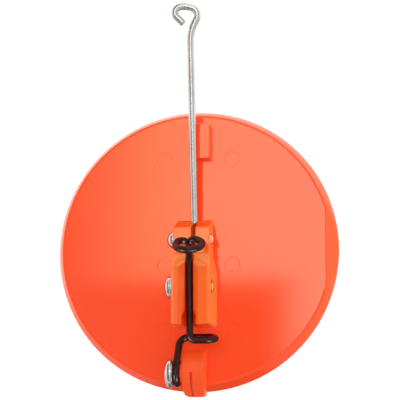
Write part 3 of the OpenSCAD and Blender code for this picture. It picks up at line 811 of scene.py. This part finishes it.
weight_screws = cross_head_screws(
    "weight_screws", [weight_screw_place(side) for side in (-1, 1)], DOWNWARDS, flat_head_profile(),
    cross_depth=0.9)
finish_piece(weight_screws, "hull", "bright_hardware", "ballast_screw_left", "ballast_screw_right")

# Pieces that move


def tension_bolt_profile():
    """A domed head, a plain shank through the left cheek and the thread in the nut."""
    head_r, head_h, rim_h, edge_h, foot_r, fullness = 4.3, 2.4, 0.36, 0.12, 4.2, 2.3
    shank_r, shank_z, thread_z, end_z = 1.7, -8.0, -8.2, -15.75
    shank = [(head_r, edge_h), (foot_r, 0.0), (shank_r, 0.0), (shank_r, shank_z)]
    return dome_profile(head_r, rim_h, head_h, fullness) + shank + threaded(shank_r, thread_z, end_z)


TENSION_SEAT_X = -7.85
tension_bolt = cross_head_screws(
    "tension_bolt", [(TENSION_SEAT_X, TENSION_AT.y, TENSION_AT.z)], LEFTWARDS, tension_bolt_profile(),
    cross_depth=1.5)
# Painted orange-brown reflection on the tension bolt's end in the right cheek.
mark_points(tension_bolt.data, "painted_shade_and_reflection", tail_painted_reflection(share=1.0))
finish_piece(tension_bolt, "tensioner", "bright_hardware", "tension_screw")

trip_rod = bent_wire("trip_rod", trip_route(), TRIP_WIRE_R, BLACK_COAT)
finish_piece(trip_rod, "trip", "black_wire", "trip_wire")


def foot_section(y, half_t):
    """Half width, half height and power of the foot's section at y, from flat plate to round wire."""
    swell_from, swell_l = 6.05, 0.45
    neck_half, taper, taper_l = 2.3, 1.4, 9.5
    foot_fullness, fullness_drop = 2.4, 0.4
    t = min(max((y - swell_from) / swell_l, 0.0), 1.0)
    t = t * t * (3 - 2 * t)
    half_x = half_t + (ARM_WIRE_R - half_t) * t
    half_z = (neck_half - taper * y / taper_l) * (1 - t) + ARM_WIRE_R * t
    return half_x, half_z, 2 / (foot_fullness - fullness_drop * t)


def arm_foot():
    """The flattened, pierced end of the arm's wire, at the pivot."""
    half_t, ease, outer_r, hole_r = 0.5, 0.12, 2.9, 1.55
    start_y, end_y, sections, ring_steps = 1.75, 7.0, 24, 32
    bm = bmesh.new()
    plate = [(hole_r, ease - half_t), (hole_r + ease, -half_t),
             (outer_r - ease, -half_t), (outer_r, ease - half_t),
             (outer_r, half_t - ease), (outer_r - ease, half_t),
             (hole_r + ease, half_t), (hole_r, half_t - ease)]
    turned(bm, plate, Matrix.Rotation(math.pi / 2, 4, "Y"))
    rings = []
    for i in range(sections + 1):
        y = start_y + (end_y - start_y) * i / sections
        half_x, half_z, power = foot_section(y, half_t)
        ring = []
        for k in range(ring_steps):
            c = math.cos(FULL_TURN * k / ring_steps)
            s = math.sin(FULL_TURN * k / ring_steps)
            x = half_x * math.copysign(abs(c) ** power, c)
            z = half_z * math.copysign(abs(s) ** power, s)
            ring.append(bm.verts.new((x, y, z)))
        rings.append(ring)
    for lower, upper in zip(rings, rings[1:]):
        for k in range(ring_steps):
            after = (k + 1) % ring_steps
            bm.faces.new((lower[k], lower[after], upper[after], upper[k]))
    bm.faces.new(rings[0])
    bm.faces.new(rings[-1])
    place = Matrix.Translation(ARM_PIVOT) @ Matrix.Rotation(ARM_RISE, 4, "X")
    bmesh.ops.transform(bm, matrix=place, verts=bm.verts)
    return mesh_of("arm_foot", bm)


leader_wire = bent_wire("leader_wire", arm_route(), ARM_WIRE_R, ARM_STEEL)
joined = bmesh.new()
joined.from_mesh(leader_wire.data)
joined.from_mesh(arm_foot())
joined.to_mesh(leader_wire.data)
joined.free()
shade(leader_wire.data)
# Painted shade and orange reflection on the arm's flattened foot in the slot.
mark_points(leader_wire.data, "painted_shade_and_reflection", foot_painted_shade)
finish_piece(leader_wire, "arm", "arm_wire", "leader_arm")

# Floor, light and camera


def pale_floor():
    """A floor just below the disc, which shines as white paper does under studio light."""
    half_size, drop = 4.0, 0.0003
    looks = {"Base Color": (0.12, 0.12, 0.12, 1), "Roughness": 0.9, "Specular IOR Level": 0.0,
             "Emission Color": (1, 1, 1, 1), "Emission Strength": 0.93}
    bm = bmesh.new()
    bmesh.ops.create_grid(bm, x_segments=1, y_segments=1, size=half_size)
    mesh = bpy.data.meshes.new("floor")
    bm.to_mesh(mesh)
    bm.free()
    mesh.transform(Matrix.Translation((0, 0, -drop)))
    paint = bpy.data.materials.new("pale_floor")
    paint.use_nodes = True
    for label, value in looks.items():
        paint.node_tree.nodes["Principled BSDF"].inputs[label].default_value = value
    sheet = link("floor", mesh)
    set_material(sheet, paint)
    sheet.visible_glossy = False
    return sheet


floor = pale_floor()


def studio_world():
    """A pale studio, dim to the south, low down and in bands west and east, with a lit frame overhead.

    A stretch with one soft edge is given by where that starts and ends, and one between two edges by where
    they lie and how far they blur. The lit frame goes round a dim window, and the disc mirrors both.
    """
    overhead_z = 0.2
    frame_east, frame_north = (-0.18, -0.02, 0.045), (0.055, 0.26, 0.02)
    past_window_north, past_window_east = (0.118, 0.130), (-0.105, -0.078)
    south_y, south_x, south_dim = (-0.22, -0.45), (-0.35, 0.35, 0.12), 0.55
    west_x, west_dim = (-0.86, -0.22, 0.05), 0.95
    east_x, east_dim = (0.42, 0.92, 0.08), 0.6
    low_z, low_y, low_dim = (0.02, -0.06), (0.15, -0.25), 0.65
    full_light, most_dim, window_dim = 1.25, 1.1, 1.0
    frame_light, frame_green, frame_blue = 7.0, 0.85, 0.30
    blue_rise, blue_east = 0.30, (-0.20, -0.08)
    world = bpy.data.worlds.new("studio")
    world.use_nodes = True
    world.node_tree.nodes.clear()
    g = Graph(world.node_tree)
    way = g.add("ShaderNodeSeparateXYZ", {"Vector": g.add("ShaderNodeTexCoord").outputs["Generated"]}).outputs
    east = g.math("DIVIDE", way["X"], way["Z"])
    north = g.math("DIVIDE", way["Y"], way["Z"])
    above = g.math("GREATER_THAN", way["Z"], overhead_z)

    def past(value, start, end):
        return g.add("ShaderNodeMapRange", {"Value": value, "From Min": start, "From Max": end},
                     interpolation_type="SMOOTHSTEP").outputs["Result"]

    def within(value, low, high, blur):
        return g.math("MULTIPLY", past(value, low - blur, low + blur), past(value, high + blur, high - blur))

    overhead = g.math("MULTIPLY", within(east, *frame_east), above)
    overhead = g.math("MULTIPLY", overhead, within(north, *frame_north))
    past_window = g.math("MAXIMUM", past(north, *past_window_north), past(east, *past_window_east))
    window = g.math("MULTIPLY", overhead, g.math("SUBTRACT", 1.0, past_window))
    south = g.math("MULTIPLY", past(way["Y"], *south_y), within(way["X"], *south_x))
    west_band = g.math("MULTIPLY", within(way["X"], *west_x), above)
    east_band = g.math("MULTIPLY", within(way["X"], *east_x), above)
    low = g.math("MULTIPLY", past(way["Z"], *low_z), past(way["Y"], *low_y))
    dim = g.math("MULTIPLY", south, south_dim)
    stretches = ((west_band, west_dim), (east_band, east_dim), (window, window_dim), (low, low_dim))
    for stretch, share in stretches:
        dim = g.math("ADD", dim, g.math("MULTIPLY", stretch, share))
    plain = g.math("SUBTRACT", full_light, g.math("MINIMUM", dim, most_dim))
    lit = g.math("MULTIPLY", g.math("MULTIPLY", overhead, past_window), frame_light)
    blue = g.math("ADD", frame_blue, g.math("MULTIPLY", past(east, *blue_east), blue_rise))
    light = g.add("ShaderNodeCombineColor", {
        "Red": g.math("ADD", plain, lit), "Green": g.math("ADD", plain, g.math("MULTIPLY", lit, frame_green)),
        "Blue": g.math("ADD", plain, g.math("MULTIPLY", lit, blue))})
    back = g.add("ShaderNodeBackground", {"Color": light.outputs["Color"]})
    g.add("ShaderNodeOutputWorld", {"Surface": back.outputs["Background"]})
    bpy.context.scene.world = world


def panel(name, at, size, power, glossy_piece=None):
    """A panel light that looks at the disc; it gives soft light, or glints on one piece alone."""
    light = bpy.data.lights.new(name, "AREA")
    light.shape = "SQUARE"
    light.size = size
    light.energy = power
    lamp = bpy.data.objects.new(name, light)
    lamp.location = at
    lamp.rotation_euler = (-Vector(at)).to_track_quat("-Z", "Y").to_euler()
    lamp.visible_camera = False
    lamp.visible_glossy = glossy_piece is not None
    lamp.visible_diffuse = glossy_piece is None
    if glossy_piece:
        lit_alone = bpy.data.collections.new(name + "_lights")
        lit_alone.objects.link(glossy_piece)
        lamp.light_linking.receiver_collection = lit_alone
    bpy.context.scene.collection.objects.link(lamp)


def photo_camera():
    """The camera that sees the disc as the photograph does, taking the image as 400 by 400."""
    tilt = math.tan(math.radians(8))
    distance, target_z, mm_per_pixel = 0.70, 0.0015, 0.37226
    centre_x, centre_y, pixels, sensor = 197.855, 251.069, 400, 36
    back = Vector((tilt, -tilt, 1)).normalized()
    right = Vector((0, 1, 0)).cross(back).normalized()
    up = back.cross(right).normalized()
    data = bpy.data.cameras.new("camera")
    data.sensor_width = sensor
    data.lens = distance / MM / mm_per_pixel * sensor / pixels
    data.shift_x = (pixels / 2 - centre_x) / pixels
    data.shift_y = (centre_y - pixels / 2) / pixels
    camera = bpy.data.objects.new("camera", data)
    turn = Matrix((right, up, back)).transposed().to_4x4()
    camera.matrix_world = Matrix.Translation(Vector((0, 0, target_z)) + back * distance) @ turn
    bpy.context.scene.collection.objects.link(camera)
    bpy.context.scene.camera = camera


studio_world()
panel("key_panel", at=(-0.52, 0.30, 1.0), size=0.8, power=2.0)
panel("left_glint_panel", at=(-0.65, -0.55, 0.55), size=0.6, power=16.0, glossy_piece=trip_rod)
panel("right_glint_panel", at=(0.49, -0.75, 0.45), size=0.5, power=14.0, glossy_piece=trip_rod)
photo_camera()
bpy.context.scene.view_settings.view_transform = "Standard"
